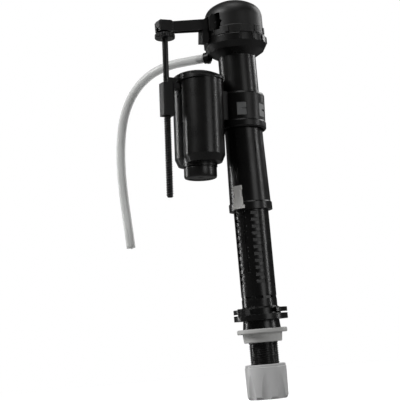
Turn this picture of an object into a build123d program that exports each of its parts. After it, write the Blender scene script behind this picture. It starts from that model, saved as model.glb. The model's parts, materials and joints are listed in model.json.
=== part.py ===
from build123d import *
import math
import os

os.makedirs("parts", exist_ok=True)

# Toilet fill valve. Origin on the riser axis where the gasket flange meets the tank floor,
# +Z up the riser, float arm towards -X. Millimetres.

# Shank, gasket and inlet
shank_radius = 11.8
shank_length = 50.5
thread_depth = 0.6
thread_start = 8.0
inlet_radius = 6.2
inlet_depth = 29.5
strainer_radius = 8.0
strainer_height = 4.0
flange_radius = 20.5
flange_height = 3.7
plug_radius = 16.2
plug_tip_radius = 15.6
plug_depth = 7.2
hub_radius = 15.5
hub_height = 7.0
foot_radius = 22.0
foot_height = 4.5
ear_gap = 1.2
ear_height = 3.6
ear_count = 3
ear_web_angle = 196
ear_spacing_start = 120

# Base tube and its locking racks
tube_radius = 14.4
tube_bore = 11.0
tube_top = 180.0
rack_pitch = 5.6
rack_depth = 1.5
rack_width = 7.0
rack_start = 42.0
rack_angles = (180, 252, 72)
keyway_angle = 214
port_height = 26.0
port_angles = (204, 240, 276, 330, 30, 90, 150)
port_width = 6.4

# Nut on the shank
nut_radius = 17.0
nut_top = -25.0
nut_length = 25.9
nut_washer_height = 1.6
flute_count = 8
flute_radius = 7.0
flute_depth = 2.2
flute_clear = 4.5
flute_start = 236

# Valve body: sleeve, bowl and inner pipe
sleeve_wall = 1.25
sleeve_foot_swell = 1.2
sleeve_taper_top = 160.0
sleeve_bottom = 100.8
sleeve_lip_swell = 2.1
sleeve_lip_height = 6.8
sleeve_rib_angle = 272
fall_ports = 6
bowl_radius = 26.0
bowl_bore = 23.7
bowl_top = 246.6
bowl_floor = 228.5
bowl_rise = 11.5
neck_top = 230.7
bowl_rib_angles = (250, 276, 302, 328, 0, 96, 120, 150)
rib_height = 5.4
boss_radius = 10.6
boss_top = 236.0
pipe_radius = 8.5
pipe_bore = 6.8
pipe_foot = 58.0
piston_height = 13.0
ring_section = 1.0
seat_top = 242.0
seat_bore = 6.0

# Refill nipple, tube and its clip
refill_angle = 133
refill_level = 235.5
nipple_reach = 36.0
nipple_boss_radius = 5.2
nipple_radius = 2.9
hose_radius = 3.8
hose_bore = 2.95
hose_route = [
    (28.5, 235.5), (43.5, 235.5), (62, 235), (80, 229.5), (95, 217.5), (105.5, 200),
    (111, 178), (113, 153), (112.5, 126), (110.5, 100), (109.5, 82),
]
clip_wire = 0.45

# Lock clip
clip_angle = 208
clip_top = 120.5
clip_bottom = 101.6
clip_thickness = 1.5
clip_stem = 6.0

# Cap, guide ring and diaphragm
cap_radius = 24.3
cap_rim_radius = 24.9
cap_rim_bottom = 247.0
cap_rim_top = 254.0
cap_corner = 269.8
cap_apex = 280.0
cap_shoulder = 12.0
cap_wall = 2.0
rim_bumps = 12
spigot_bottom = 240.5
deck_bottom = 249.6
deck_top = 251.4
pocket_width = 26.0
pocket_top = 265.4
pocket_back = -8.5
ear_inner = 5.2
ear_thickness = 2.0
guide_bore = 14.2
diaphragm_radius = 14.0
diaphragm_lift = 2.05
diaphragm_thickness = 2.0
nozzle_radius = 2.2
nozzle_top = 252.95
nozzle_x = -12.5

# Float arm
pivot_x = -21.0
pivot_z = 258.0
pin_radius = 1.5
arm_width = 8.5
arm_height = 9.0
arm_wall = 1.6
tip_length = 13.0
tip_width = 11.2
tip_height = 9.2
tip_bevel = 1.5
arm_root_rise = 0.5
tab_bottom = 242.0
tab_clear = 1.4
tab_width = 6.2

# Rod and float hang on one line, leaning outward from this point under the arm's tip
hook_x = -65.8
hook_z = 250.0
hang_tilt = 3.2
rod_radius = 2.4
rod_thread_radius = 2.95
rod_neck_radius = 1.9
rod_head_radius = 2.9
rod_drop = 137.0
thread_drop = 41.0
wheel_radius = 8.3
wheel_drop = 2.2
wheel_height = 3.8
wheel_notches = 20
swivel_radius = 3.6
swivel_base = 2.8
swivel_height = 2.0

# Float: drops are measured down the rod from the hook
float_offset = 28.2
lobe_radius = 16.7
lobe_spread = 8.5
cup_wall = 1.4
cup_top_drop = 41.2
cup_end_drop = 103.0
cup_base_drop = 108.8
base_taper = 24
neck_radius = 14.0
neck_end_drop = 111.2
plug_end_drop = 120.4
lid_lip = 1.0
lid_apex_drop = 30.8
lid_dome_radius = 42.0
bracket_width = 9.6
bracket_top_drop = 43.4
bracket_end_drop = 70.4
nut_block = 7.2
collar_wall = 1.15
collar_top_drop = 47.8
collar_end_drop = 77.8
bush_wall = 0.65
window_width = 8.0
window_height = 11.0
window_drop = 62.9
collar_windows = (60, 120, 180, 240, 300)
block_half = 9.0

# Clearances
running = 0.05
loose = 0.3
touch = 0.02
sliding = 0.15
bush_clear = 0.5

# Sleeve, bush and collar are sized outward from the tube
sleeve_bore = tube_radius + sliding
sleeve_radius = sleeve_bore + sleeve_wall
sleeve_foot_radius = sleeve_radius + sleeve_foot_swell
sleeve_lip_radius = sleeve_radius + sleeve_lip_swell
bush_bore = sleeve_foot_radius + bush_clear
collar_bore = bush_bore + bush_wall
collar_radius = collar_bore + collar_wall

tilt = math.radians(hang_tilt)
hang = Plane(
    origin=(hook_x, 0, hook_z),
    x_dir=(math.cos(tilt), 0, -math.sin(tilt)),
    z_dir=(math.sin(tilt), 0, math.cos(tilt)),
)
hang_side = Plane(origin=hang.origin, x_dir=hang.x_dir, z_dir=-hang.y_dir)
hang_axis = Axis(hang.origin, hang.z_dir)
window_rise = window_drop - hook_x * math.sin(tilt)
collar_offset = -hook_x * math.cos(tilt) + window_rise * math.tan(tilt)


def drop(distance):
    """Plane square to the rod, this far below the hook."""
    return hang.offset(-distance)


def radial(angle, distance, height):
    """Plane facing outward from the riser at this direction, its y up."""
    turn = math.radians(angle)
    out = Vector(math.cos(turn), math.sin(turn), 0)
    side = Vector(-math.sin(turn), math.cos(turn), 0)
    return Plane(origin=out * distance + Vector(0, 0, height), x_dir=side, z_dir=out)


def rims(piece, radius):
    """Circular edges about as large as this radius."""
    return piece.edges().filter_by(GeomType.CIRCLE).filter_by(lambda e: e.radius > radius - 0.1)


def corner_at(outline, across, up):
    """The outline's corner at this place, in the sketch's own plane."""
    return outline.vertices().sort_by_distance((across, up, 0))[0:1]


def dome_arc(corner, corner_height, apex_height):
    """Start, middle and end of the arc from the shoulder's corner up to the apex."""
    rise = apex_height - corner_height
    arc_radius = (corner**2 + rise**2) / (2 * rise)
    middle_height = apex_height - arc_radius + math.sqrt(arc_radius**2 - corner**2 / 4)
    return (corner, corner_height), (corner / 2, middle_height), (0, apex_height)


def collar_window(turn_by):
    """Plane just inside the collar's wall at one of its windows, facing outward."""
    angle = math.radians(180 + turn_by)
    out = hang.x_dir * math.cos(angle) + hang.y_dir * math.sin(angle)
    side = hang.y_dir * math.cos(angle) - hang.x_dir * math.sin(angle)
    middle = drop(window_drop).origin + hang.x_dir * collar_offset
    return Plane(origin=middle + out * (collar_bore - 1), x_dir=side, z_dir=out)


def save(piece, name):
    piece.part.label = name
    export_step(piece.part, f"parts/{name}.step")


# Piece group: base

foot_bottom = flange_height + hub_height
foot_top = foot_bottom + foot_height
ear_bottom = foot_top + ear_gap
ear_top = ear_bottom + ear_height
strainer_ledge = -shank_length + inlet_depth

with BuildPart() as shank_tube:
    with BuildSketch(Plane.XZ):
        Polygon(
            (inlet_radius, -shank_length),
            (shank_radius - thread_depth - 1, -shank_length),
            (shank_radius - thread_depth, -shank_length + 1),
            (shank_radius - thread_depth, -thread_start - thread_depth),
            (shank_radius, -thread_start),
            (shank_radius, flange_height),
            (hub_radius, flange_height),
            (hub_radius - 0.7, foot_bottom),
            (foot_radius, foot_bottom),
            (foot_radius, foot_top),
            (tube_radius + 2.2, foot_top),
            (tube_radius + 2.2, ear_top),
            (tube_radius, ear_top + 1.5),
            (tube_radius, tube_top),
            (tube_bore, tube_top),
            (tube_bore, flange_height + 5),
            (strainer_radius, flange_height + 2),
            (strainer_radius, strainer_ledge),
            (inlet_radius, strainer_ledge),
            align=None,
        )
    revolve(axis=Axis.Z)
    # raised ears over the foot plate, one of them joined to it; the shank below is left at its
    # thread's root
    with BuildSketch(Plane.XY.offset(ear_bottom)):
        Circle(foot_radius)
        Circle(tube_radius + 1, mode=Mode.SUBTRACT)
        with PolarLocations(foot_radius, ear_count, start_angle=ear_spacing_start):
            Rectangle(foot_radius, foot_radius * 1.15, mode=Mode.SUBTRACT)
    extrude(amount=ear_height)
    with BuildSketch(Plane.XY.offset(foot_top - 1)):
        with PolarLocations((tube_radius + foot_radius) / 2 + 0.4, 1, start_angle=ear_web_angle):
            Rectangle(foot_radius - tube_radius - 1, 9)
    extrude(amount=ear_top - foot_top + 1.7)
    # racks for the lock clip
    rack_teeth = int((tube_top - 12 - rack_start) / rack_pitch)
    for angle in rack_angles:
        for tooth in range(rack_teeth):
            face = radial(angle, tube_radius - rack_depth, rack_start + tooth * rack_pitch)
            with BuildSketch(face):
                Rectangle(rack_width, rack_pitch * 0.5)
            extrude(amount=rack_depth * 2, mode=Mode.SUBTRACT)
    # keyway that stops the head turning
    with BuildSketch(radial(keyway_angle, tube_radius - 0.8, (rack_start + tube_top) / 2)):
        Rectangle(2.2, tube_top - rack_start - 16)
    extrude(amount=2, mode=Mode.SUBTRACT)
    # outlet ports at the foot
    for angle in port_angles:
        with BuildSketch(radial(angle, tube_radius - 1.4, port_height + 3)):
            Rectangle(port_width, 2.4)
        extrude(amount=4, mode=Mode.SUBTRACT)
save(shank_tube, "shank_tube")

with BuildPart() as shank_gasket:
    with BuildSketch(Plane.XZ):
        Polygon(
            (shank_radius + touch, -plug_depth),
            (plug_tip_radius - 0.6, -plug_depth),
            (plug_tip_radius, -plug_depth + 0.6),
            (plug_radius, 0),
            (flange_radius, 0),
            (flange_radius, flange_height),
            (shank_radius + touch, flange_height),
            align=None,
        )
    revolve(axis=Axis.Z)
    fillet(rims(shank_gasket, flange_radius), radius=1.0)
save(shank_gasket, "shank_gasket")

with BuildPart() as inlet_strainer:
    with BuildSketch(Plane.XY.offset(strainer_ledge)):
        Circle(strainer_radius - touch)
    extrude(amount=strainer_height)
    with BuildSketch(Plane.XY.offset(strainer_ledge + 1.2)):
        Circle(strainer_radius - 1.2)
    extrude(amount=strainer_height, mode=Mode.SUBTRACT)
    with BuildSketch(Plane.XY.offset(strainer_ledge)):
        Circle(0.9)
        with PolarLocations(2.4, 6):
            Circle(0.8)
        with PolarLocations(4.8, 12):
            Circle(0.8)
    extrude(amount=strainer_height, mode=Mode.SUBTRACT)
save(inlet_strainer, "inlet_strainer")

# Piece group: nut

with BuildPart() as nut_washer:
    with BuildSketch(Plane.XY.offset(nut_top - nut_washer_height)):
        Circle(nut_radius - 0.6)
        Circle(shank_radius + loose, mode=Mode.SUBTRACT)
    extrude(amount=nut_washer_height)
    top_rim = nut_washer.edges().group_by(Axis.Z)[-1].sort_by(SortBy.RADIUS)[-1]
    fillet(top_rim, radius=0.6)
save(nut_washer, "nut_washer")

nut_upper = nut_top - nut_washer_height - running
nut_lower = nut_upper - nut_length

with BuildPart() as shank_nut:
    with BuildSketch(Plane.XZ):
        Polygon(
            (shank_radius + running, nut_lower + 1),
            (shank_radius + 1.2, nut_lower),
            (nut_radius - 1.5, nut_lower),
            (nut_radius, nut_lower + 2),
            (nut_radius - 0.2, nut_upper - 0.6),
            (nut_radius - 0.8, nut_upper),
            (shank_radius + running, nut_upper),
            align=None,
        )
    revolve(axis=Axis.Z)
    # finger flutes, deepest at the lower end and running out below the top
    flute_top = nut_upper - flute_clear
    flute_run = flute_top - nut_lower
    flute_lean = math.atan(flute_depth / flute_run)
    for step in range(flute_count):
        angle = flute_start + step * 360 / flute_count
        turn = math.radians(angle)
        out = Vector(math.cos(turn), math.sin(turn), 0)
        along = Vector(0, 0, -1) * math.cos(flute_lean) - out * math.sin(flute_lean)
        start = out * (nut_radius + flute_radius) + Vector(0, 0, flute_top)
        with BuildSketch(Plane(origin=start, z_dir=along)):
            Circle(flute_radius)
        extrude(amount=flute_run + 4, mode=Mode.SUBTRACT)
save(shank_nut, "shank_nut")

# Piece group: valve body

with BuildPart() as riser_sleeve:
    with BuildSketch(Plane.XZ):
        Polygon(
            (sleeve_bore, sleeve_bottom),
            (sleeve_lip_radius, sleeve_bottom),
            (sleeve_lip_radius, sleeve_bottom + sleeve_lip_height - 1),
            (sleeve_foot_radius, sleeve_bottom + sleeve_lip_height),
            (sleeve_radius, sleeve_taper_top),
            (sleeve_radius, neck_top),
            (bowl_radius - 2.8, neck_top + 4.6),
            (bowl_radius, neck_top + 9.6),
            (bowl_radius, bowl_top - 0.8),
            (bowl_radius - 0.8, bowl_top),
            (bowl_bore, bowl_top),
            (bowl_bore, bowl_floor + bowl_rise),
            (sleeve_bore + 1.5, bowl_floor + 3.2),
            (boss_radius, bowl_floor + 3.2),
            (boss_radius, boss_top),
            (pipe_radius + touch, boss_top),
            (pipe_radius + touch, bowl_floor - 3),
            (sleeve_bore, bowl_floor - 3),
            align=None,
        )
    revolve(axis=Axis.Z)
    # fall ports through the bowl floor, down between sleeve and pipe
    with BuildSketch(Plane.XY.offset(bowl_floor - 4)):
        with PolarLocations(boss_radius + 1.9, fall_ports, start_angle=30):
            Circle(1.5)
    extrude(amount=10, mode=Mode.SUBTRACT)
    # window for the lock clip's tongue
    with BuildSketch(radial(clip_angle, sleeve_bore - 2, (clip_top + clip_bottom) / 2 + 0.8)):
        Rectangle(clip_stem + 2 * loose, clip_top - clip_bottom - 7)
    extrude(amount=8, mode=Mode.SUBTRACT)
    # ribs that stiffen the bowl
    for angle in bowl_rib_angles:
        with BuildSketch(radial(angle, bowl_bore + loose, bowl_top - rib_height / 2 - 0.8)):
            Rectangle(2.4, rib_height)
        extrude(amount=bowl_radius - bowl_bore - loose + 0.6)
    # ridge down the front of the sleeve and the clip's guide rib
    with BuildSketch(radial(sleeve_rib_angle, sleeve_radius - 0.6, 0)):
        with Locations((0, (sleeve_bottom + sleeve_taper_top) / 2 + 2)):
            Rectangle(1.2, sleeve_taper_top - sleeve_bottom - 8)
    extrude(amount=1.2, taper=12)
    with BuildSketch(radial(clip_angle, sleeve_radius - 0.5, clip_top + 9)):
        Rectangle(1.4, 14)
    extrude(amount=1.6)
    # the hollow stays clear of what was added outside
    with BuildSketch(Plane.XY.offset(sleeve_bottom)):
        Circle(sleeve_bore)
    extrude(amount=bowl_floor - 3 - sleeve_bottom, mode=Mode.SUBTRACT)
    with BuildSketch(Plane.XY.offset(bowl_floor + bowl_rise)):
        Circle(bowl_bore)
        Circle(boss_radius + 4, mode=Mode.SUBTRACT)
    extrude(amount=bowl_top - bowl_floor, mode=Mode.SUBTRACT)
    # boss and socket for the refill nipple
    with BuildSketch(radial(refill_angle, bowl_bore + loose, refill_level)):
        Circle(nipple_boss_radius)
    extrude(amount=bowl_radius - bowl_bore - loose)
    with BuildSketch(radial(refill_angle, bowl_bore - 8, refill_level)):
        Circle(nipple_radius + 0.6 + touch)
    extrude(amount=16, mode=Mode.SUBTRACT)
save(riser_sleeve, "riser_sleeve")

pipe_top = boss_top - 2
groove_floor = tube_bore - running - 2 * ring_section - 0.05

with BuildPart() as riser_pipe:
    with BuildSketch(Plane.XZ):
        Polygon(
            (pipe_bore, pipe_foot),
            (tube_bore - 0.6, pipe_foot),
            (tube_bore - 0.1, pipe_foot + 0.8),
            (tube_bore - 0.1, pipe_foot + piston_height),
            (pipe_radius, pipe_foot + piston_height + 2.4),
            (pipe_radius, pipe_top),
            (pipe_bore, pipe_top),
            align=None,
        )
    revolve(axis=Axis.Z)
    for level in (pipe_foot + 3.4, pipe_foot + 9.0):
        with BuildSketch(Plane.XY.offset(level - ring_section - 0.1)):
            Circle(tube_bore + 1)
            Circle(groove_floor, mode=Mode.SUBTRACT)
        extrude(amount=2 * ring_section + 0.2, mode=Mode.SUBTRACT)
save(riser_pipe, "riser_pipe")

for label, level in (("lower_pipe_ring", pipe_foot + 3.4), ("upper_pipe_ring", pipe_foot + 9.0)):
    with BuildPart() as pipe_ring:
        with BuildSketch(Plane.XZ):
            with Locations((tube_bore - running - ring_section, level)):
                Circle(ring_section)
        revolve(axis=Axis.Z)
    save(pipe_ring, label)

with BuildPart() as valve_seat:
    with BuildSketch(Plane.XZ):
        Polygon(
            (seat_bore, pipe_top + touch),
            (pipe_radius, pipe_top + touch),
            (pipe_radius, boss_top + touch),
            (boss_radius - 0.2, boss_top + touch),
            (boss_radius - 0.2, boss_top + 1.4),
            (seat_bore + 2.2, boss_top + 1.9),
            (seat_bore + 1.4, seat_top),
            (seat_bore, seat_top),
            align=None,
        )
    revolve(axis=Axis.Z)
    lip = valve_seat.edges().group_by(Axis.Z)[-1]
    fillet(lip, radius=0.5)
save(valve_seat, "valve_seat")

nipple_out = radial(refill_angle, 0, refill_level).z_dir
nipple_side = Plane(origin=(0, 0, refill_level), x_dir=nipple_out, z_dir=nipple_out.cross(Vector(0, 0, 1)))

with BuildPart() as refill_nipple:
    with BuildSketch(nipple_side):
        Polygon(
            (bowl_bore - 1.0, 2.0),
            (bowl_bore - 1.0, nipple_radius + 0.6),
            (bowl_radius + 0.1, nipple_radius + 0.6),
            (bowl_radius + 0.1, nipple_radius + 1.8),
            (hose_route[0][0] - touch, nipple_radius + 1.8),
            (hose_route[0][0] - touch, nipple_radius - 0.1),
            (nipple_reach - 2.5, nipple_radius - 0.1),
            (nipple_reach, nipple_radius - 0.7),
            (nipple_reach, 1.6),
            align=None,
        )
    revolve(axis=Axis((0, 0, refill_level), nipple_out))
save(refill_nipple, "refill_nipple")

# Piece group: refill tube

turn = math.radians(refill_angle)
route = [Vector(s * math.cos(turn), s * math.sin(turn), z) for s, z in hose_route]
runs = [(b - a).length for a, b in zip(route, route[1:])]
bends = [(b - a).get_angle(c - b) for a, b, c in zip(route, route[1:], route[2:])]
bend_radii = [
    0.45 * min(before, after) / math.tan(math.radians(bend) / 2)
    for before, after, bend in zip(runs, runs[1:], bends)
]
print("refill tube bend radii", [round(r, 1) for r in bend_radii])

with BuildPart() as refill_tube:
    with BuildLine() as tube_line:
        FilletPolyline(*route, radius=bend_radii)
    start = Plane(origin=route[0], z_dir=route[1] - route[0])
    with BuildSketch(start):
        Circle(hose_radius)
        Circle(hose_bore, mode=Mode.SUBTRACT)
    sweep(path=tube_line.wire())
hose_length = tube_line.wire().length
hose_section = math.pi * (hose_radius**2 - hose_bore**2)
print("refill tube length", hose_length, "from volume", refill_tube.part.volume / hose_section)
save(refill_tube, "refill_tube")

tube_end = route[-1]
end_dir = (route[-1] - route[-2]).normalized()
end_side = Vector(-math.sin(turn), math.cos(turn), 0)
wire_reach = hose_bore - clip_wire - 0.1

with BuildPart() as tube_clip:
    with BuildLine() as wire_line:
        FilletPolyline(
            tube_end - end_dir * 16 + end_side * wire_reach,
            tube_end - end_dir * 3 + end_side * wire_reach,
            tube_end + end_dir * 1.5 - end_side * wire_reach * 0.9,
            tube_end - end_dir * 15 - end_side * wire_reach * 0.9,
            radius=0.9,
        )
    with BuildSketch(Plane(origin=wire_line.wire() @ 0, z_dir=wire_line.wire() % 0)):
        Circle(clip_wire)
    sweep(path=wire_line.wire())
save(tube_clip, "tube_clip")

# Piece group: lock clip

clip_inner = sleeve_lip_radius + 0.1
clip_middle = (clip_top + clip_bottom) / 2

with BuildPart() as lock_clip:
    with BuildSketch(radial(clip_angle, clip_inner, 0)):
        with Locations((0, clip_top - 1.75)):
            Rectangle(9, 3.5)
        with Locations((0, clip_middle + 3)):
            Rectangle(clip_stem, clip_top - clip_bottom - 8)
        with Locations((0, clip_bottom + 5)):
            Rectangle(8.5, 9)
        with Locations((0, clip_bottom + 1.4)):
            Rectangle(11, 2.8)
    extrude(amount=clip_thickness)
    with BuildSketch(radial(clip_angle, tube_radius + 0.2, clip_middle + 0.8)):
        Rectangle(clip_stem - 0.2, clip_top - clip_bottom - 8)
    extrude(amount=clip_inner - tube_radius)
    outer_edges = lock_clip.faces().sort_by(Axis((0, 0, 0), radial(clip_angle, 0, 0).z_dir))[-1].edges()
    chamfer(outer_edges, length=0.3)
save(lock_clip, "lock_clip")

# Piece group: cap

with BuildPart() as dome_hollow:
    with BuildSketch(Plane.XZ) as hollow_outline:
        with BuildLine():
            Polyline(
                (0, cap_apex - cap_wall),
                (0, deck_top),
                (cap_radius - cap_wall, deck_top),
                (cap_radius - cap_wall, cap_corner - cap_wall),
            )
            ThreePointArc(*dome_arc(cap_radius - cap_wall, cap_corner - cap_wall, cap_apex - cap_wall))
        make_face()
        shoulder = corner_at(hollow_outline, cap_radius - cap_wall, cap_corner - cap_wall)
        fillet(shoulder, radius=cap_shoulder - cap_wall)
    revolve(axis=Axis.Z)
    # the pocket's walls stay
    with BuildSketch(Plane.XY.offset(deck_top - 1)):
        with Locations(((pocket_back + cap_wall) / 2 - cap_radius, 0)):
            Rectangle(2 * cap_radius + pocket_back + cap_wall, pocket_width + 2 * cap_wall)
    extrude(amount=pocket_top + cap_wall - deck_top + 1, mode=Mode.SUBTRACT)

with BuildPart() as cap:
    # domed cover over a spigot that drops into the bowl
    with BuildSketch(Plane.XZ) as cap_outline:
        with BuildLine():
            Polyline(
                (0, cap_apex),
                (0, deck_bottom),
                (cap_radius - 2.9, deck_bottom),
                (cap_radius - 2.9, spigot_bottom),
                (bowl_bore - 0.3, spigot_bottom),
                (bowl_bore - 0.3, cap_rim_bottom),
                (cap_rim_radius, cap_rim_bottom),
                (cap_rim_radius, cap_rim_top - 0.6),
                (cap_radius, cap_rim_top),
                (cap_radius, cap_corner),
            )
            ThreePointArc(*dome_arc(cap_radius, cap_corner, cap_apex))
        make_face()
        fillet(corner_at(cap_outline, cap_radius, cap_corner), radius=cap_shoulder)
    revolve(axis=Axis.Z)
    add(dome_hollow.part, mode=Mode.SUBTRACT)
    with BuildSketch(Plane.XY.offset(deck_top)):
        with Locations(((pocket_back - 2 * cap_radius) / 2, 0)):
            Rectangle(2 * cap_radius + pocket_back, pocket_width)
    extrude(amount=pocket_top - deck_top, mode=Mode.SUBTRACT)
    # two ears for the pivot pin, standing on the deck
    for side in (-1, 1):
        ear_plane = Plane(
            origin=(0, side * (ear_inner + ear_thickness / 2), 0), x_dir=(1, 0, 0), z_dir=(0, -1, 0)
        )
        with BuildSketch(ear_plane):
            with Locations((pivot_x - 0.8, (deck_top + pivot_z) / 2)):
                Rectangle(10.4, pivot_z - deck_top + 0.4)
            with Locations((pivot_x - 0.8, pivot_z + 3.2)):
                Circle(5.2)
            with Locations((pivot_x - 0.8, pivot_z + 1.4)):
                Rectangle(10.4, 3.6)
        extrude(amount=ear_thickness / 2, both=True)
    # bumps round the rim
    with BuildSketch(Plane.XY.offset(cap_rim_bottom + 0.8)):
        with PolarLocations(cap_rim_radius - 0.4, rim_bumps, start_angle=15):
            Rectangle(2.0, 3.0)
    extrude(amount=cap_rim_top - cap_rim_bottom - 2)
    # bores for the pin and the pilot nozzle, groove for the seal
    with BuildSketch(Plane.XZ.offset(-pocket_width)):
        with Locations((pivot_x, pivot_z)):
            Circle(pin_radius + touch)
    extrude(amount=2 * pocket_width, mode=Mode.SUBTRACT)
    with BuildSketch(Plane.XY.offset(deck_bottom - 1)):
        with Locations((nozzle_x, 0)):
            Circle(nozzle_radius - 0.6 + touch)
    extrude(amount=4, mode=Mode.SUBTRACT)
    with BuildSketch(Plane.XY.offset(spigot_bottom + 2)):
        Circle(bowl_bore)
        Circle(bowl_bore - 2 * ring_section - 0.15, mode=Mode.SUBTRACT)
    extrude(amount=2 * ring_section + 0.2, mode=Mode.SUBTRACT)
save(cap, "cap")

with BuildPart() as cap_seal:
    with BuildSketch(Plane.XZ):
        with Locations((bowl_bore - 0.1 - ring_section, spigot_bottom + 2.1 + ring_section)):
            Circle(ring_section)
    revolve(axis=Axis.Z)
save(cap_seal, "cap_seal")

with BuildPart() as diaphragm_guide:
    with BuildSketch(Plane.XY.offset(seat_top + 0.6)):
        Circle(guide_bore + 2.6)
        Circle(guide_bore, mode=Mode.SUBTRACT)
    extrude(amount=deck_bottom - touch - seat_top - 0.6)
    with BuildSketch(Plane.XY.offset(deck_bottom - touch - 1.2)):
        Circle(cap_radius - 3.1)
        Circle(guide_bore, mode=Mode.SUBTRACT)
    extrude(amount=1.2)
    with BuildSketch(Plane.XY.offset(seat_top)):
        with PolarLocations(guide_bore + 1.3, 8):
            Rectangle(4, 3)
    extrude(amount=2.4, mode=Mode.SUBTRACT)
save(diaphragm_guide, "diaphragm_guide")

with BuildPart() as pilot_nozzle:
    with BuildSketch(Plane.XZ):
        Polygon(
            (0.6, deck_bottom),
            (nozzle_radius - 0.6, deck_bottom),
            (nozzle_radius - 0.6, deck_top + touch),
            (nozzle_radius, deck_top + touch),
            (nozzle_radius, nozzle_top - 0.6),
            (nozzle_radius - 1.0, nozzle_top),
            (0.6, nozzle_top),
            align=None,
        )
    revolve(axis=Axis.Z)
pilot_nozzle.part.position = (nozzle_x, 0, 0)
save(pilot_nozzle, "pilot_nozzle")

with BuildPart() as pivot_pin:
    with BuildSketch(Plane.XZ.offset(-(ear_inner + ear_thickness + 0.8))):
        with Locations((pivot_x, pivot_z)):
            Circle(pin_radius)
    extrude(amount=2 * (ear_inner + ear_thickness + 0.8))
    chamfer(pivot_pin.edges().filter_by(GeomType.CIRCLE), length=0.3)
save(pivot_pin, "pivot_pin")

# Piece group: diaphragm

diaphragm_bottom = seat_top + diaphragm_lift
diaphragm_top = diaphragm_bottom + diaphragm_thickness

with BuildPart() as diaphragm:
    with BuildSketch(Plane.XZ):
        Polygon(
            (1.1, diaphragm_bottom),
            (seat_bore + 3, diaphragm_bottom),
            (seat_bore + 4, diaphragm_bottom + 0.7),
            (diaphragm_radius - 1.6, diaphragm_bottom + 0.7),
            (diaphragm_radius - 1.2, diaphragm_bottom),
            (diaphragm_radius, diaphragm_bottom + 0.4),
            (diaphragm_radius, diaphragm_top - 0.2),
            (diaphragm_radius - 2, diaphragm_top),
            (1.1, diaphragm_top),
            align=None,
        )
    revolve(axis=Axis.Z)
save(diaphragm, "diaphragm")

with BuildPart() as diaphragm_plate:
    with BuildSketch(Plane.XY.offset(diaphragm_top)):
        Circle(7.5)
        Circle(1.1, mode=Mode.SUBTRACT)
        with PolarLocations(4.8, 6):
            Circle(1.1, mode=Mode.SUBTRACT)
    extrude(amount=1.0)
save(diaphragm_plate, "diaphragm_plate")

with BuildPart() as metering_pin:
    with BuildSketch(Plane.XZ):
        Polygon(
            (0, diaphragm_bottom - 3.5),
            (0.5, diaphragm_bottom - 3.5),
            (1.0, diaphragm_bottom - 2.5),
            (1.0, diaphragm_top + 1.02),
            (2.6, diaphragm_top + 1.02),
            (2.6, diaphragm_top + 1.7),
            (0, diaphragm_top + 1.7),
            align=None,
        )
    revolve(axis=Axis.Z)
save(metering_pin, "metering_pin")

# Piece group: float arm

tip_inner = hook_x + tip_length / 2
tip_outer = hook_x - tip_length / 2
arm_root_z = pivot_z + arm_root_rise
arm_tip_z = hook_z + tip_height / 2 - 0.2
tab_inner = -(bowl_radius + tab_clear)
side_plane = Plane.XZ

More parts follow.
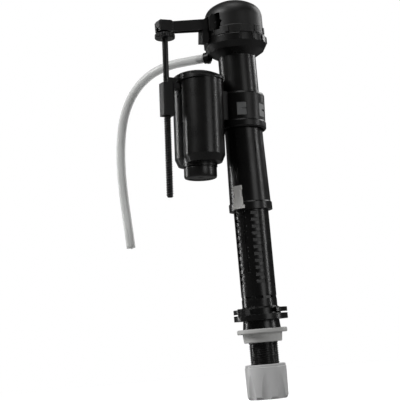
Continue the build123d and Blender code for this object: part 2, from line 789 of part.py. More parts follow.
with BuildPart() as float_arm:
    # beam from the pivot to the tip, hollow below
    with BuildSketch(side_plane):
        Polygon(
            (pivot_x, arm_root_z + arm_height / 2),
            (pivot_x, arm_root_z - arm_height / 2),
            (tip_inner, arm_tip_z - arm_height / 2),
            (tip_inner, arm_tip_z + arm_height / 2 - 0.6),
            align=None,
        )
        with Locations((pivot_x, pivot_z)):
            Circle(4.9)
    extrude(amount=arm_width / 2, both=True)
    with BuildSketch(side_plane):
        Polygon(
            (pivot_x - 7, arm_root_z + arm_height / 2 - 2.4),
            (pivot_x - 7, arm_root_z - arm_height),
            (tip_inner - 0.5, arm_tip_z - arm_height),
            (tip_inner - 0.5, arm_tip_z + arm_height / 2 - 2.8),
            align=None,
        )
    extrude(amount=arm_width / 2 - arm_wall, both=True, mode=Mode.SUBTRACT)
    # hub across the pin and the heel that carries the pilot pad
    with BuildSketch(side_plane):
        with Locations((pivot_x, pivot_z)):
            Circle(4.2)
    extrude(amount=ear_inner - 0.2, both=True)
    with BuildSketch(side_plane):
        Polygon(
            (pivot_x, pivot_z - 2.2),
            (nozzle_x + 3.2, pivot_z - 1.4),
            (nozzle_x + 3.2, pivot_z + 1.6),
            (pivot_x, pivot_z + 3.8),
            align=None,
        )
    extrude(amount=3, both=True)
    # socket at the tip for the rod's head
    with BuildSketch(Plane.XY.offset(hook_z)):
        with Locations((hook_x, 0)):
            RectangleRounded(tip_length, tip_width, 1.8)
    extrude(amount=tip_height - tip_bevel)
    with BuildSketch(Plane.XY.offset(hook_z + tip_height - tip_bevel)):
        with Locations((hook_x, 0)):
            RectangleRounded(tip_length, tip_width, 1.8)
    extrude(amount=tip_bevel, taper=42)
    with BuildSketch(Plane.XY.offset(hook_z + 1.6)):
        with Locations((hook_x, 0)):
            Rectangle(tip_length - 3.2, tip_width - 2.8)
    extrude(amount=tip_height - 3.2, mode=Mode.SUBTRACT)
    with BuildSketch(Plane.XY.offset(hook_z - 1)):
        with Locations((hook_x - 2, 0)):
            Rectangle(tip_length - 3.2 + 4, 2 * rod_neck_radius + 2 * loose)
    extrude(amount=4, mode=Mode.SUBTRACT)
    # stop tab below the beam
    with BuildSketch(side_plane):
        Polygon(
            (tab_inner + 1, arm_root_z - arm_height / 2 + 2),
            (tab_inner, tab_bottom + 2),
            (tab_inner - 1, tab_bottom),
            (tab_inner - tab_width, tab_bottom),
            (tab_inner - tab_width + 1.4, arm_root_z - arm_height / 2 + 2),
            align=None,
        )
    extrude(amount=arm_width / 2 - 0.4, both=True)
    with BuildSketch(Plane.XZ.offset(-pocket_width)):
        with Locations((pivot_x, pivot_z)):
            Circle(pin_radius + running)
    extrude(amount=2 * pocket_width, mode=Mode.SUBTRACT)
    # pocket under the heel for the pilot pad
    with BuildSketch(Plane.XY.offset(pivot_z - 4)):
        with Locations((nozzle_x, 0)):
            Circle(nozzle_radius + 0.3)
    extrude(amount=3.8, mode=Mode.SUBTRACT)
save(float_arm, "float_arm")

with BuildPart() as pilot_pad:
    with BuildSketch(Plane.XY.offset(pivot_z - 2.6)):
        with Locations((nozzle_x, 0)):
            Circle(nozzle_radius + 0.25)
    extrude(amount=2.35)
save(pilot_pad, "pilot_pad")

# Piece group: rod

with BuildPart() as rod_swivel:
    with BuildSketch(drop(-swivel_base)):
        Circle(swivel_radius)
        Circle(rod_neck_radius + running, mode=Mode.SUBTRACT)
    extrude(amount=swivel_height)
    chamfer(rims(rod_swivel, swivel_radius), length=0.4)
save(rod_swivel, "rod_swivel")

head_base = swivel_base + swivel_height + running

with BuildPart() as adjusting_rod:
    with BuildSketch(hang_side):
        Polygon(
            (0, -rod_drop),
            (rod_thread_radius - 1, -rod_drop),
            (rod_thread_radius, -rod_drop + 1),
            (rod_thread_radius, -thread_drop - 0.6),
            (rod_radius, -thread_drop),
            (rod_radius, -wheel_drop - wheel_height - 0.1),
            (rod_radius + 0.3, -wheel_drop - wheel_height - 0.1),
            (rod_radius + 0.3, -wheel_drop - wheel_height),
            (rod_neck_radius, -wheel_drop - wheel_height),
            (rod_neck_radius, head_base),
            (rod_head_radius, head_base),
            (rod_head_radius, head_base + 1.2),
            (rod_head_radius - 1.2, head_base + 2.3),
            (0, head_base + 2.3),
            align=None,
        )
    revolve(axis=hang_axis)
save(adjusting_rod, "adjusting_rod")

with BuildPart() as thumbwheel:
    with BuildSketch(drop(wheel_drop + wheel_height - touch)):
        Circle(wheel_radius)
        Circle(rod_neck_radius + touch, mode=Mode.SUBTRACT)
    extrude(amount=wheel_height - touch)
    fillet(rims(thumbwheel, wheel_radius), radius=0.8)
    # grip notches
    with BuildSketch(drop(wheel_drop + wheel_height + 1)):
        with PolarLocations(wheel_radius + 0.4, wheel_notches):
            Circle(0.8)
    extrude(amount=wheel_height + 2, mode=Mode.SUBTRACT)
save(thumbwheel, "thumbwheel")

# Piece group: float

lobes = [(float_offset, -lobe_spread), (float_offset, lobe_spread)]

with BuildPart() as float_cup:
    with BuildSketch(drop(cup_end_drop)):
        with Locations(*lobes):
            Circle(lobe_radius)
    extrude(amount=cup_end_drop - cup_top_drop)
    base_height = cup_base_drop - cup_end_drop
    for across, along in lobes:
        with Locations(hang.location * Location((across, along, -cup_end_drop - base_height / 2))):
            Cone(lobe_radius - base_height * math.tan(math.radians(base_taper)), lobe_radius, base_height)
    with BuildSketch(drop(neck_end_drop)):
        with Locations((float_offset, 0)):
            Circle(neck_radius)
    extrude(amount=neck_end_drop - cup_end_drop)
    # hollow
    with BuildSketch(drop(cup_end_drop)):
        with Locations(*lobes):
            Circle(lobe_radius - cup_wall)
    extrude(amount=cup_end_drop - cup_top_drop, mode=Mode.SUBTRACT)
    with BuildSketch(drop(neck_end_drop)):
        with Locations((float_offset, 0)):
            Circle(neck_radius - cup_wall)
    extrude(amount=neck_end_drop - cup_end_drop, mode=Mode.SUBTRACT)
save(float_cup, "float_cup")

with BuildPart() as float_plug:
    with BuildSketch(drop(plug_end_drop)):
        with Locations((float_offset, 0)):
            Circle(neck_radius - 0.5)
    extrude(amount=plug_end_drop - neck_end_drop - touch)
    plug_edge = float_plug.faces().sort_by(hang_axis)[0].edges()
    chamfer(plug_edge, length=1.6)
    with BuildSketch(drop(neck_end_drop + 1)):
        with Locations((float_offset, 0)):
            Circle(neck_radius - cup_wall - touch)
    extrude(amount=5)
    with BuildSketch(drop(plug_end_drop - cup_wall)):
        with Locations((float_offset, 0)):
            Circle(neck_radius - 2 * cup_wall)
    extrude(amount=plug_end_drop, mode=Mode.SUBTRACT)
    # recess in the underside
    with BuildSketch(drop(plug_end_drop)):
        with Locations((float_offset, 0)):
            Circle(neck_radius - 4)
    extrude(amount=0.6, mode=Mode.SUBTRACT)
save(float_plug, "float_plug")

dome_centre = -lid_apex_drop - lid_dome_radius

with BuildPart() as float_lid:
    with BuildSketch(drop(cup_top_drop - touch)):
        with Locations(*lobes):
            Circle(lobe_radius + lid_lip)
    extrude(amount=12)
    with Locations(hang.location * Location((float_offset, 0, dome_centre))):
        Sphere(lid_dome_radius, mode=Mode.INTERSECT)
    # spigot inside the cup
    with BuildSketch(drop(cup_top_drop + 3)):
        with Locations(*lobes):
            Circle(lobe_radius - cup_wall - 0.05)
    extrude(amount=4)
    with BuildSketch(drop(cup_top_drop + 4)):
        with Locations(*lobes):
            Circle(lobe_radius - 2.2 * cup_wall)
    extrude(amount=5.6, mode=Mode.SUBTRACT)
    # arm and socket block that grip the rod
    with BuildSketch(drop(bracket_end_drop)):
        RectangleRounded(bracket_width, bracket_width, 1.2)
    extrude(amount=bracket_end_drop - bracket_top_drop)
    with BuildSketch(drop(bracket_top_drop + 4.4)):
        with Locations((bracket_width / 2 + 2.4, 0)):
            Rectangle(6.2, 8)
    extrude(amount=4.4)
    with BuildSketch(drop(cup_top_drop - touch)):
        with Locations((9.4, 0)):
            Rectangle(15, 8)
    extrude(amount=2.2)
    with BuildSketch(drop(bracket_top_drop + 0.2)):
        with Locations((3.6, 0)):
            Rectangle(8.4, 8)
    extrude(amount=bracket_top_drop + 0.2 - cup_top_drop + 2.2)
    # through hole, and the square pocket for the threaded insert
    with BuildSketch(drop(bracket_end_drop + 1)):
        Circle(rod_thread_radius + loose)
    extrude(amount=bracket_end_drop, mode=Mode.SUBTRACT)
    with BuildSketch(drop(bracket_end_drop)):
        Rectangle(nut_block + 2 * touch, nut_block + 2 * touch)
    extrude(amount=18, mode=Mode.SUBTRACT)
save(float_lid, "float_lid")

with BuildPart() as rod_nut:
    with BuildSketch(drop(bracket_end_drop - 0.4)):
        Rectangle(nut_block, nut_block)
        Circle(rod_thread_radius + running, mode=Mode.SUBTRACT)
    extrude(amount=17)
save(rod_nut, "rod_nut")

with BuildPart() as guide_collar:
    # ring with a sloped shoulder above and a thicker lip below
    with BuildSketch(hang_side):
        with Locations((collar_offset, 0)):
            Polygon(
                (collar_bore, -collar_end_drop),
                (collar_radius - 0.3, -collar_end_drop),
                (collar_radius + 0.5, -collar_end_drop + 1.2),
                (collar_radius + 0.5, -collar_end_drop + 5.4),
                (collar_radius, -collar_end_drop + 6.4),
                (collar_radius, -collar_top_drop - 1.6),
                (collar_radius - 0.8, -collar_top_drop),
                (collar_bore, -collar_top_drop),
                align=None,
            )
    revolve(axis=Axis(hang.origin + hang.x_dir * collar_offset, hang.z_dir))
    # block that joins the collar to the float
    with BuildSketch(drop(collar_end_drop - 6)):
        with Locations(((float_offset + lobe_radius - 3 + collar_offset - collar_bore) / 2, 0)):
            Rectangle(collar_offset - collar_bore - float_offset - lobe_radius + 3, 2 * block_half)
    extrude(amount=collar_end_drop - 6 - collar_top_drop)
    with BuildSketch(drop(collar_end_drop)):
        with Locations(*lobes):
            Circle(lobe_radius + touch)
    extrude(amount=collar_end_drop - collar_top_drop, mode=Mode.SUBTRACT)
    with BuildSketch(drop(collar_end_drop + 1)):
        with Locations((collar_offset, 0)):
            Circle(collar_bore)
    extrude(amount=collar_end_drop, mode=Mode.SUBTRACT)
    # windows for the bush's lugs
    for turn_by in collar_windows:
        with BuildSketch(collar_window(turn_by)):
            Rectangle(window_width, window_height)
        extrude(amount=5, mode=Mode.SUBTRACT)
save(guide_collar, "guide_collar")

with BuildPart() as glide_bush:
    with BuildSketch(drop(collar_end_drop - 1.4)):
        with Locations((collar_offset, 0)):
            Circle(collar_bore - 0.05)
    extrude(amount=collar_end_drop - collar_top_drop - 2.8)
    # C-shaped lugs that snap into the windows
    for turn_by in collar_windows:
        with BuildSketch(collar_window(turn_by)):
            Rectangle(window_width - 0.4, window_height - 0.4)
            with Locations((window_width / 4, 0)):
                Rectangle(window_width / 2, 1.6, mode=Mode.SUBTRACT)
        extrude(amount=1.0 + collar_radius - collar_bore - 0.35)
    with BuildSketch(drop(collar_end_drop)):
        with Locations((collar_offset, 0)):
            Circle(bush_bore)
    extrude(amount=collar_end_drop, mode=Mode.SUBTRACT)
save(glide_bush, "glide_bush")
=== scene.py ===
import json
import math

import bmesh
import bpy
from mathutils import Matrix, Vector


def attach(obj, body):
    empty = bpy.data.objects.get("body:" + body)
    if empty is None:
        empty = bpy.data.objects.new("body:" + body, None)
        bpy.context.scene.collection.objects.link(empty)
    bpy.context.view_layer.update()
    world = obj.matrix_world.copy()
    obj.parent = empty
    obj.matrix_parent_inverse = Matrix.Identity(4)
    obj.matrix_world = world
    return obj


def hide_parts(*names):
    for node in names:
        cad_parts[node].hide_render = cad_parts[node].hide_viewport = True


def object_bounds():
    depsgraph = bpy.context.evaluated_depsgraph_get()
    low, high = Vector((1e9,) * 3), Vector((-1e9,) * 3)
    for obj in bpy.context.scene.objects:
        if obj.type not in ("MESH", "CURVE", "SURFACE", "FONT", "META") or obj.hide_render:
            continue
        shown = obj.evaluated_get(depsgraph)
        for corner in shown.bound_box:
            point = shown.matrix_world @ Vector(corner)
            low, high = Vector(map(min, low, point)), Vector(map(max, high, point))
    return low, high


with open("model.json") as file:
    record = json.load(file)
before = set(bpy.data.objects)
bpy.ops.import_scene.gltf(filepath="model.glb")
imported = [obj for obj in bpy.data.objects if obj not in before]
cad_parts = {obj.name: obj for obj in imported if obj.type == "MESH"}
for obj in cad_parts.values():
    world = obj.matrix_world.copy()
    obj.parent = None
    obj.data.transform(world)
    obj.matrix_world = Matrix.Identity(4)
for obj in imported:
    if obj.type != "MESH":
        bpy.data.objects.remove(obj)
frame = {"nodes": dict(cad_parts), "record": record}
cadLow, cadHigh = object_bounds()
mm = 0.001
nodes = frame["nodes"]
record = frame["record"]
print("frame loaded,", len(nodes), "parts")


# a socket that takes part in sums, so shader maths reads as plain expressions
class Wire:
    def __init__(self, shader, socket):
        self.shader, self.socket = shader, socket

    def join(self, operation, other, swapped=False):
        first, second = (other, self) if swapped else (self, other)
        return self.shader.add("ShaderNodeMath", {"operation": operation}, {0: first, 1: second})[0]

    def __add__(self, other):
        return self.join("ADD", other)

    def __radd__(self, other):
        return self.join("ADD", other, True)

    def __sub__(self, other):
        return self.join("SUBTRACT", other)

    def __rsub__(self, other):
        return self.join("SUBTRACT", other, True)

    def __mul__(self, other):
        return self.join("MULTIPLY", other)

    def __rmul__(self, other):
        return self.join("MULTIPLY", other, True)

    def clamped(self):
        return self.shader.add("ShaderNodeClamp", {}, {"Value": self})[0]


class Outputs:
    def __init__(self, shader, node):
        self.shader, self.node = shader, node

    def __getitem__(self, key):
        return Wire(self.shader, self.node.outputs[key])


# the node tree of a new material or world
class Shader:
    def __init__(self, name, group="materials"):
        self.owner = getattr(bpy.data, group).new(name)
        self.owner.use_nodes = True
        self.tree = self.owner.node_tree
        self.tree.nodes.clear()

    def add(self, kind, settings, sockets):
        node = self.tree.nodes.new(kind)
        for key, value in settings.items():
            setattr(node, key, value)
        for key, value in sockets.items():
            if isinstance(value, Wire):
                self.tree.links.new(value.socket, node.inputs[key])
            else:
                node.inputs[key].default_value = value
        return Outputs(self, node)

    def place(self):
        return self.add("ShaderNodeTexCoord", {}, {})["Object"]

    def noise(self, pattern):
        stretch = pattern.get("stretch", (1, 1, 1))
        spread = self.add("ShaderNodeMapping", {}, {"Vector": self.place(), "Scale": stretch})["Vector"]
        sockets = {"Vector": spread, "Scale": pattern["scale"], "Detail": pattern["detail"]}
        return self.add("ShaderNodeTexNoise", {}, sockets)["Fac"]

    # the colour sockets of a Mix node follow its number and vector ones
    def mixed(self, amount, first, second):
        return self.add("ShaderNodeMix", {"data_type": "RGBA"}, {0: amount, 6: first, 7: second})[2]

    def bump(self, height, depth, normal=None):
        sockets = {"Height": height, "Distance": depth}
        if normal:
            sockets["Normal"] = normal
        return self.add("ShaderNodeBump", {}, sockets)["Normal"]

    def finished(self, sockets):
        surface = self.add("ShaderNodeBsdfPrincipled", {}, sockets)["BSDF"]
        self.add("ShaderNodeOutputMaterial", {}, {"Surface": surface})
        return self.owner


white = (1, 1, 1, 1)
# how strongly the edges are lightened, partly as wear and partly as a painted highlight
edgeWearAndSheen = {"samples": 6, "gain": 4}


def grey(value, warmth=0.0):
    return (value * (1 + warmth), value, value * (1 - warmth), 1)


# lightened edges, partly wear and partly a painted highlight: where the rounded normal leaves the flat one
def edgeMask(shader, reach):
    rounded = shader.add("ShaderNodeBevel", {"samples": edgeWearAndSheen["samples"]}, {"Radius": reach})["Normal"]
    flat = shader.add("ShaderNodeNewGeometry", {}, {})["Normal"]
    dot = shader.add("ShaderNodeVectorMath", {"operation": "DOT_PRODUCT"}, {0: rounded, 1: flat})["Value"]
    return ((1 - dot) * edgeWearAndSheen["gain"]).clamped(), rounded


# grain and streak set each part's own share of the two patterns
blackPlastic = {
    "parts": {
        "body": {"tone": 0.0034, "rough": 0.27, "grain": 0.05, "streak": 0.35},
        "sleeve": {"tone": 0.0042, "rough": 0.30, "grain": 0.05, "streak": 0.6},
        "cap": {"tone": 0.0090, "rough": 0.46, "grain": 0.16, "streak": 0.0},
        "arm": {"tone": 0.0036, "rough": 0.34, "grain": 0.06, "streak": 0.2},
        "float": {"tone": 0.0062, "rough": 0.29, "grain": 0.04, "streak": 0.45},
        "lid": {"tone": 0.0034, "rough": 0.36, "grain": 0.08, "streak": 0.0},
    },
    "dark": {"share": 0.7, "warmth": 0.02},
    "light": {"share": 2.1, "warmth": 0.04},
    "edge": {"radius": 0.3 * mm, "shade": 0.5},
    "mottle": {"scale": 90, "detail": 4, "shade": 0.4, "rough": 0.12},
    "flow": {
        "scale": 420, "detail": 3, "stretch": (1, 1, 0.02), "shade": 0.5, "rough": 0.14, "height": 0.05,
    },
    "fine": {"scale": 2600, "detail": 2, "rough": 0.08},
    "depth": 0.12 * mm,
    "refraction": 1.46,
}


def mouldedBlack(name):
    look, own = blackPlastic, blackPlastic["parts"][name]
    shader = Shader("moulded black " + name)
    edge, rounded = edgeMask(shader, look["edge"]["radius"])
    mottle = shader.noise(look["mottle"])
    flow = shader.noise(look["flow"])
    fine = shader.noise(look["fine"])
    # the edge term lightens edges towards the light tone, partly wear and partly a painted highlight
    shade = (
        mottle * look["mottle"]["shade"]
        + flow * own["streak"] * look["flow"]["shade"]
        + edge * look["edge"]["shade"]
    ).clamped()
    dark, light = (grey(own["tone"] * end["share"], end["warmth"]) for end in (look["dark"], look["light"]))
    rough = (
        own["rough"]
        + (mottle - 0.5) * look["mottle"]["rough"]
        + (flow - 0.5) * own["streak"] * look["flow"]["rough"]
        + (fine - 0.5) * look["fine"]["rough"]
    )
    height = fine * own["grain"] + flow * own["streak"] * look["flow"]["height"]
    return shader.finished({
        "Base Color": shader.mixed(shade, dark, light),
        "Roughness": rough,
        "Normal": shader.bump(height, look["depth"], rounded),
        "IOR": look["refraction"],
    })


palePlastic = {
    "parts": {
        "nut": {"tone": (0.80, 0.80, 0.80, 1), "deep": (0.66, 0.66, 0.66, 1), "rough": 0.38, "soft": 0.05},
        "clip": {"tone": (0.93, 0.92, 0.90, 1), "deep": (0.82, 0.81, 0.78, 1), "rough": 0.32, "soft": 0.08},
        "bush": {
            "tone": (0.30, 0.305, 0.305, 1), "deep": (0.22, 0.225, 0.225, 1), "rough": 0.4, "soft": 0.03,
        },
        "inner": {"tone": (0.70, 0.70, 0.66, 1), "deep": (0.55, 0.55, 0.50, 1), "rough": 0.38, "soft": 0.12},
    },
    "edge": {"radius": 0.3 * mm, "shade": 0.25},
    "cloud": {"scale": 70, "detail": 4, "shade": 0.8, "rough": 0.1},
    "fine": {"scale": 2200, "detail": 2, "rough": 0.08, "height": 0.05},
    "middle": 0.35,
    "depth": 0.1 * mm,
    "glow": (2 * mm, 2 * mm, 1.8 * mm),
    "refraction": 1.48,
}


def mouldedPale(name):
    look, own = palePlastic, palePlastic["parts"][name]
    shader = Shader("moulded pale " + name)
    edge, rounded = edgeMask(shader, look["edge"]["radius"])
    cloud = shader.noise(look["cloud"])
    fine = shader.noise(look["fine"])
    # the edge term lightens edges towards the paler tone, partly wear and partly a painted highlight
    shade = (
        (cloud - 0.5) * look["cloud"]["shade"] + look["middle"] + (0.5 - edge) * look["edge"]["shade"]
    ).clamped()
    rough = own["rough"] + (cloud - 0.5) * look["cloud"]["rough"] + (fine - 0.5) * look["fine"]["rough"]
    return shader.finished({
        "Base Color": shader.mixed(shade, own["tone"], own["deep"]),
        "Roughness": rough,
        "Normal": shader.bump(fine * look["fine"]["height"], look["depth"], rounded),
        "IOR": look["refraction"],
        "Subsurface Weight": own["soft"],
        "Subsurface Radius": look["glow"],
    })


rubber = {
    # the lighter colour serves both the dusty bloom and the painted highlight on the edges
    "parts": {
        "gasket": {"tone": (0.60, 0.60, 0.585, 1), "dust": (0.74, 0.74, 0.72, 1), "rough": 0.6},
        "seal": {"tone": (0.012, 0.012, 0.012, 1), "dust": (0.03, 0.03, 0.03, 1), "rough": 0.55},
    },
    "edge": {"radius": 0.5 * mm, "shade": 0.3},
    "bloom": {"scale": 160, "detail": 5, "shade": 0.8, "rough": 0.16, "height": 0.3},
    "pores": {"scale": 1800, "detail": 3, "height": 0.2},
    "depth": 0.12 * mm,
    "refraction": 1.5,
}


def softRubber(name):
    look, own = rubber, rubber["parts"][name]
    shader = Shader("rubber " + name)
    bloom = shader.noise(look["bloom"])
    pores = shader.noise(look["pores"])
    edge, rounded = edgeMask(shader, look["edge"]["radius"])
    # bloom is dust, while the edge term lightens edges as a painted highlight
    shade = (bloom * look["bloom"]["shade"] + edge * look["edge"]["shade"]).clamped()
    height = pores * look["pores"]["height"] + bloom * look["bloom"]["height"]
    return shader.finished({
        "Base Color": shader.mixed(shade, own["tone"], own["dust"]),
        "Roughness": own["rough"] + (bloom - 0.5) * look["bloom"]["rough"],
        "Normal": shader.bump(height, look["depth"], rounded),
        "IOR": look["refraction"],
    })


vinyl = {
    "clear": (0.93, 0.94, 0.93, 1),
    "cloudy": (0.82, 0.83, 0.81, 1),
    "haze": {"scale": 60, "detail": 4, "shade": 0.7, "rough": 0.1, "alpha": 0.2},
    "drawn": {"scale": 300, "detail": 2, "stretch": (1, 1, 0.05), "height": 0.3},
    "rough": 0.16,
    "alpha": 0.52,
    "depth": 0.1 * mm,
    "refraction": 1.5,
}


def clearVinyl():
    look = vinyl
    shader = Shader("clear vinyl")
    haze = shader.noise(look["haze"])
    drawn = shader.noise(look["drawn"])
    return shader.finished({
        "Base Color": shader.mixed((haze * look["haze"]["shade"]).clamped(), look["clear"], look["cloudy"]),
        "Roughness": look["rough"] + haze * look["haze"]["rough"],
        "Normal": shader.bump(drawn * look["drawn"]["height"], look["depth"]),
        "Alpha": look["alpha"] + (haze - 0.5) * look["haze"]["alpha"],
        "IOR": look["refraction"],
    })


clipWire = {
    "dull": (0.55, 0.55, 0.55, 1),
    "bright": (0.70, 0.70, 0.69, 1),
    "drawn": {"scale": 900, "detail": 2, "stretch": (1, 1, 0.1), "rough": 0.16},
    "rough": 0.24,
}


def springWire():
    look = clipWire
    shader = Shader("spring wire")
    drawn = shader.noise(look["drawn"])
    return shader.finished({
        "Base Color": shader.mixed(drawn, look["dull"], look["bright"]),
        "Metallic": 1.0,
        "Roughness": look["rough"] + drawn * look["drawn"]["rough"],
    })


slotLooks = {
    "black_body": (mouldedBlack, "body"),
    "black_sleeve": (mouldedBlack, "sleeve"),
    "black_cap": (mouldedBlack, "cap"),
    "black_arm": (mouldedBlack, "arm"),
    "black_rod": (mouldedBlack, "arm"),
    "black_float": (mouldedBlack, "float"),
    "black_lid": (mouldedBlack, "lid"),
    "black_trim": (mouldedBlack, "arm"),
    "gasket_rubber": (softRubber, "gasket"),
    "seal_rubber": (softRubber, "seal"),
    "nut_plastic": (mouldedPale, "nut"),
    "clip_plastic": (mouldedPale, "clip"),
    "bush_plastic": (mouldedPale, "bush"),
    "inner_plastic": (mouldedPale, "inner"),
    "strainer_plastic": (mouldedPale, "inner"),
    "clear_hose": (clearVinyl,),
    "clip_wire": (springWire,),
}
finishes = {slot: make(*name) for slot, (make, *name) in slotLooks.items()}
slotOf = {part["node"]: part["material_slot"] for part in record["subparts"]}
for nodeName, node in nodes.items():
    node.data.materials.clear()
    node.data.materials.append(finishes[slotOf[nodeName]])
print("finishes made,", len(finishes))


view = {
    "azimuth": -28.14,
    "elevation": -7.41,
    "roll": -4.99,
    "distance": 0.9114,
    "lens": 98.75,
    "sensor": 36,
    "across": -41.25 * mm,
    "height": 113.2 * mm,
    "near": 0.01,
    "far": 20,
}
azimuth, elevation = math.radians(view["azimuth"]), math.radians(view["elevation"])
across = Vector((math.cos(azimuth), math.sin(azimuth), 0))
towards = Vector((math.sin(azimuth), -math.cos(azimuth), 0))
upward = Vector((0, 0, 1))


def linked(data):
    item = bpy.data.objects.new(data.name, data)
    bpy.context.collection.objects.link(item)
    return item


def aimed(direction, roll=0):
    sight = direction.normalized()
    right = sight.cross(upward).normalized()
    level = Matrix((right, right.cross(sight), -sight)).transposed()
    return (level @ Matrix.Rotation(math.radians(roll), 3, "Z")).to_quaternion()


def placed(data, place, turn):
    item = linked(data)
    item.location = place
    item.rotation_mode = "QUATERNION"
    item.rotation_quaternion = turn
    return item


aim = across * view["across"] + upward * view["height"]
back = towards * math.cos(elevation) + upward * math.sin(elevation)
cameraData = bpy.data.cameras.new("camera")
cameraData.lens = view["lens"]
cameraData.sensor_width = view["sensor"]
cameraData.clip_start, cameraData.clip_end = view["near"], view["far"]
camera = placed(cameraData, aim + back * view["distance"], aimed(-back, view["roll"]))
bpy.context.scene.camera = camera
print("camera set")

# the soft tube on the refill nipple, hanging by its own weight; its route gives
# each point's distance from the riser's axis and its height, in mm
refill = {
    "bearing": 133,
    "diameter": 7.6 * mm,
    "wall": 0.85 * mm,
    "length": 210 * mm,
    "route": [
        (28.5, 235.5), (43.5, 235.5), (62, 235), (80, 229.5), (95, 217.5), (105.5, 200),
        (111, 178), (113, 153), (112.5, 126), (110.5, 100), (109.5, 82),
    ],
    "order": 3,
    "lengthSteps": 16,
    "roundSteps": 8,
}


def refillTube():
    turn = math.radians(refill["bearing"])
    route = [
        Vector((reach * math.cos(turn), reach * math.sin(turn), height)) * mm
        for reach, height in refill["route"]
    ]
    curve = bpy.data.curves.new("refillHose", "CURVE")
    curve.dimensions = "3D"
    line = curve.splines.new("NURBS")
    line.points.add(len(route) - 1)
    for point, place in zip(line.points, route):
        point.co = (*place, 1)
    line.order_u = refill["order"]
    line.use_endpoint_u = True
    line.resolution_u = refill["lengthSteps"]
    curve.bevel_depth = refill["diameter"] / 2
    curve.bevel_resolution = refill["roundSteps"]
    curve.use_fill_caps = False
    hose = linked(curve)
    hose.data.materials.append(finishes["clear_hose"])
    thick = hose.modifiers.new("wall", "SOLIDIFY")
    thick.thickness = refill["wall"]
    thick.offset = -1
    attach(hose, "valve_body")
    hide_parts("refill_tube")


refillTube()
print("refill hose hung")

# hanging line of the float and its rod, leaning outward
hang = {"x": -65.8 * mm, "z": 250 * mm, "tilt": 3.2}
leaning = Matrix.Rotation(math.radians(hang["tilt"]), 4, "Y")
hangFrame = Matrix.Translation((hang["x"], 0, hang["z"])) @ leaning

turning = {"centre": (0, 0, 0), "axis": (0, 0, 1), "weld": 0.001 * mm, "sharp": 35}


def turnedProfile(shape, outline, steps):
    corners = [shape.verts.new((radius, 0, height)) for radius, height in outline]
    edges = [shape.edges.new(pair) for pair in zip(corners, corners[1:])]
    bmesh.ops.spin(
        shape, geom=corners + edges, cent=turning["centre"], axis=turning["axis"],
        angle=2 * math.pi, steps=steps, use_merge=True,
    )
    bmesh.ops.remove_doubles(shape, verts=shape.verts, dist=turning["weld"])


# half widths of a thread's ridge at its foot and crest, as shares of its pitch
ridge = {"foot": 0.36, "crest": 0.1}


# a ridge wound round the axis from the low end up
def helixRidge(shape, thread):
    root, crest, pitch, steps = (thread[name] for name in ("root", "crest", "pitch", "steps"))
    turns = (thread["top"] - thread["foot"]) / pitch
    wide, narrow = pitch * ridge["foot"], pitch * ridge["crest"]
    outline = [(root, -wide), (crest, -narrow), (crest, narrow), (root, wide)]
    corners = [shape.verts.new((radius, 0, thread["foot"] + rise)) for radius, rise in outline]
    start = shape.faces.new(corners)
    bmesh.ops.spin(
        shape, geom=[start, *start.edges, *corners], cent=turning["centre"], axis=turning["axis"],
        dvec=(0, 0, pitch / steps), angle=2 * math.pi * turns, steps=int(steps * turns),
    )


def meshOf(name, shape):
    mesh = bpy.data.meshes.new(name)
    shape.to_mesh(mesh)
    shape.free()
    return mesh


def finishedPiece(name, shape, material, body, place=None):
    bmesh.ops.recalc_face_normals(shape, faces=shape.faces)
    if place:
        bmesh.ops.transform(shape, matrix=place, verts=shape.verts)
    mesh = meshOf(name, shape)
    for face in mesh.polygons:
        face.use_smooth = True
    mesh.set_sharp_from_angle(angle=math.radians(turning["sharp"]))
    piece = linked(mesh)
    mesh.materials.append(finishes[material])
    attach(piece, body)
    return piece


shankThread = {
    "root": 11.1 * mm,
    "crest": 11.78 * mm,
    "pitch": 1.814 * mm,
    "foot": -49 * mm,
    "top": -9.2 * mm,
    "steps": 48,
}


def makeShankThread():
    shape = bmesh.new()
    helixRidge(shape, shankThread)
    finishedPiece("shankThread", shape, "black_body", "base")


# heights of the rod and of the plug are taken up the hanging line, from its origin
rodShape = {
    "core": 2.3 * mm,
    "coreTop": -41 * mm,
    "end": -137 * mm,
    "endBevel": 0.5 * mm,
    "stem": 2.4 * mm,
    "stemFoot": -40.6 * mm,
    "collar": {"radius": 2.7 * mm, "foot": -6.1 * mm, "top": -6 * mm},
    "neck": 1.9 * mm,
    "head": {"radius": 2.9 * mm, "foot": 4.85 * mm, "top": 7.15 * mm, "bevel": (1.2 * mm, 1.1 * mm)},
    "thread": {
        "root": 2.15 * mm, "crest": 2.93 * mm, "pitch": 2.0 * mm, "foot": -135.8 * mm, "top": -41.6 * mm,
        "steps": 32,
    },
    "roundSteps": 36,
}


def makeRod():
    look, collar, head = rodShape, rodShape["collar"], rodShape["head"]
    core, stem, neck, end = look["core"], look["stem"], look["neck"], look["end"]
    bevelIn, bevelDown = head["bevel"]
    shape = bmesh.new()
    outline = [
        (0, end),
        (core - look["endBevel"], end),
        (core, end + look["endBevel"]),
        (core, look["coreTop"]),
        (stem, look["stemFoot"]),
        (stem, collar["foot"]),
        (collar["radius"], collar["foot"]),
        (collar["radius"], collar["top"]),
        (neck, collar["top"]),
        (neck, head["foot"]),
        (head["radius"], head["foot"]),
        (head["radius"], head["top"] - bevelDown),
        (head["radius"] - bevelIn, head["top"]),
        (0, head["top"]),
    ]
    turnedProfile(shape, outline, look["roundSteps"])
    helixRidge(shape, look["thread"])
    rod = finishedPiece("threadedRod", shape, "black_rod", "rod", hangFrame)
    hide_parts("adjusting_rod")


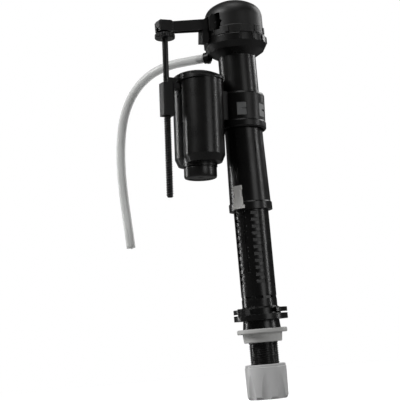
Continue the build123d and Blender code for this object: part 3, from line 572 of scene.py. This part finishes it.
# bottom plug of the float: a hollow spigot inside the cup, a groove below it and
# a skirt whose face is dished, with a pip in the middle
plugShape = {
    "across": 28.2 * mm,
    "spigot": {"radius": 12.55 * mm, "top": -107.6 * mm, "bevel": (0.3 * mm, 0.4 * mm)},
    "bore": {"radius": 11.15 * mm, "floor": -113.2 * mm},
    "groove": {"radius": 12.9 * mm, "top": -111.25 * mm, "foot": -112.0 * mm},
    "skirt": {"radius": 13.45 * mm, "top": -112.4 * mm, "foot": -118.7 * mm},
    "lip": [(12.95 * mm, -119.9 * mm), (11.85 * mm, -120.4 * mm), (10 * mm, -120.4 * mm)],
    "dish": {"radius": 9.6 * mm, "height": -119.8 * mm},
    "pip": {"foot": 2.2 * mm, "tip": 1.8 * mm, "height": -120.1 * mm},
    "roundSteps": 72,
}


def makePlug():
    look = plugShape
    spigot, bore, groove, skirt, dish, pip = (
        look[name] for name in ("spigot", "bore", "groove", "skirt", "dish", "pip")
    )
    bevelIn, bevelDown = spigot["bevel"]
    shape = bmesh.new()
    outline = [
        (0, bore["floor"]),
        (bore["radius"], bore["floor"]),
        (bore["radius"], spigot["top"]),
        (spigot["radius"] - bevelIn, spigot["top"]),
        (spigot["radius"], spigot["top"] - bevelDown),
        (spigot["radius"], groove["top"]),
        (groove["radius"], groove["top"]),
        (groove["radius"], groove["foot"]),
        (skirt["radius"], skirt["top"]),
        (skirt["radius"], skirt["foot"]),
        *look["lip"],
        (dish["radius"], dish["height"]),
        (pip["foot"], dish["height"]),
        (pip["tip"], pip["height"]),
        (0, pip["height"]),
    ]
    turnedProfile(shape, outline, look["roundSteps"])
    place = hangFrame @ Matrix.Translation((look["across"], 0, 0))
    plug = finishedPiece("floatPlug", shape, "black_float", "float", place)
    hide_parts("float_plug")


makeShankThread()
makeRod()
makePlug()
print("threads cut and plug turned")

studio = {
    "floor": {"drop": 0.4 * mm, "size": 8.0, "tone": 0.80, "rough": 0.9, "glow": 0.70, "bounce": 0.25},
    "cloud": {"scale": 3, "detail": 3, "lift": 1.03},
    "fade": {"slope": 1.6, "start": 0.25},
    "skyForLight": 0.05,
    "lights": [
        # name, turn from the camera to its right, height angle, distance, width, height, watts
        ("key", -58, 42, 1.3, 0.45, 0.45, 9.0),
        ("front", 34, 6, 1.5, 0.6, 0.6, 2.3),
        ("stripRight", 78, 4, 1.2, 0.07, 0.7, 2.4),
        ("stripLeft", -112, 6, 1.2, 0.10, 0.7, 4.0),
        ("backRight", 128, 30, 1.3, 0.4, 0.6, 5.0),
        ("top", 20, 80, 1.2, 0.5, 0.5, 3.0),
    ],
}


def hangLights():
    middle = (cadLow + cadHigh) / 2
    for name, turn, rise, distance, width, height, watts in studio["lights"]:
        lamp = bpy.data.lights.new(name, "AREA")
        lamp.shape, lamp.size, lamp.size_y, lamp.energy = "RECTANGLE", width, height, watts
        side, up = math.radians(turn), math.radians(rise)
        level = towards * math.cos(side) + across * math.sin(side)
        outward = level * math.cos(up) + upward * math.sin(up)
        placed(lamp, middle + outward * distance, aimed(-outward))


# paper that goes over into the white behind it
def layFloor():
    look, cloud, fade = studio["floor"], studio["cloud"], studio["fade"]
    shader = Shader("pale floor")
    mottle = shader.noise(cloud)
    color = shader.mixed(mottle, grey(look["tone"]), grey(look["tone"] * cloud["lift"]))
    lit = shader.add("ShaderNodeBsdfPrincipled", {}, {
        "Base Color": color,
        "Roughness": look["rough"],
        "Emission Color": white,
        "Emission Strength": look["glow"],
    })["BSDF"]
    plain = shader.add("ShaderNodeEmission", {}, {"Color": white, "Strength": 1.0})["Emission"]
    dim = shader.add("ShaderNodeBsdfDiffuse", {}, {"Color": grey(look["bounce"])})["BSDF"]
    reach = shader.add("ShaderNodeVectorMath", {"operation": "LENGTH"}, {0: shader.place()})["Value"]
    far = (reach * fade["slope"] - fade["start"]).clamped()
    seen = shader.add("ShaderNodeLightPath", {}, {})["Is Camera Ray"]
    blend = shader.add("ShaderNodeMixShader", {}, {0: far, 1: lit, 2: plain})["Shader"]
    paper = shader.add("ShaderNodeMixShader", {}, {0: seen, 1: dim, 2: blend})["Shader"]
    shader.add("ShaderNodeOutputMaterial", {}, {"Surface": paper})
    shape = bmesh.new()
    bmesh.ops.create_grid(shape, x_segments=1, y_segments=1, size=look["size"] / 2)
    bmesh.ops.translate(shape, vec=(0, 0, cadLow.z - look["drop"]), verts=shape.verts)
    floor = linked(meshOf("floor", shape))
    floor.data.materials.append(shader.owner)


# white to the camera, faint to everything else
def paintSky():
    shader = Shader("studio", "worlds")
    seen = shader.add("ShaderNodeLightPath", {}, {})["Is Camera Ray"]
    faint, bright = (
        shader.add("ShaderNodeBackground", {}, {"Color": white, "Strength": strength})["Background"]
        for strength in (studio["skyForLight"], 1.0)
    )
    blend = shader.add("ShaderNodeMixShader", {}, {0: seen, 1: faint, 2: bright})["Shader"]
    shader.add("ShaderNodeOutputWorld", {}, {"Surface": blend})
    bpy.context.scene.world = shader.owner
    bpy.context.scene.view_settings.view_transform = "Standard"


hangLights()
layFloor()
paintSky()
print("studio lit")
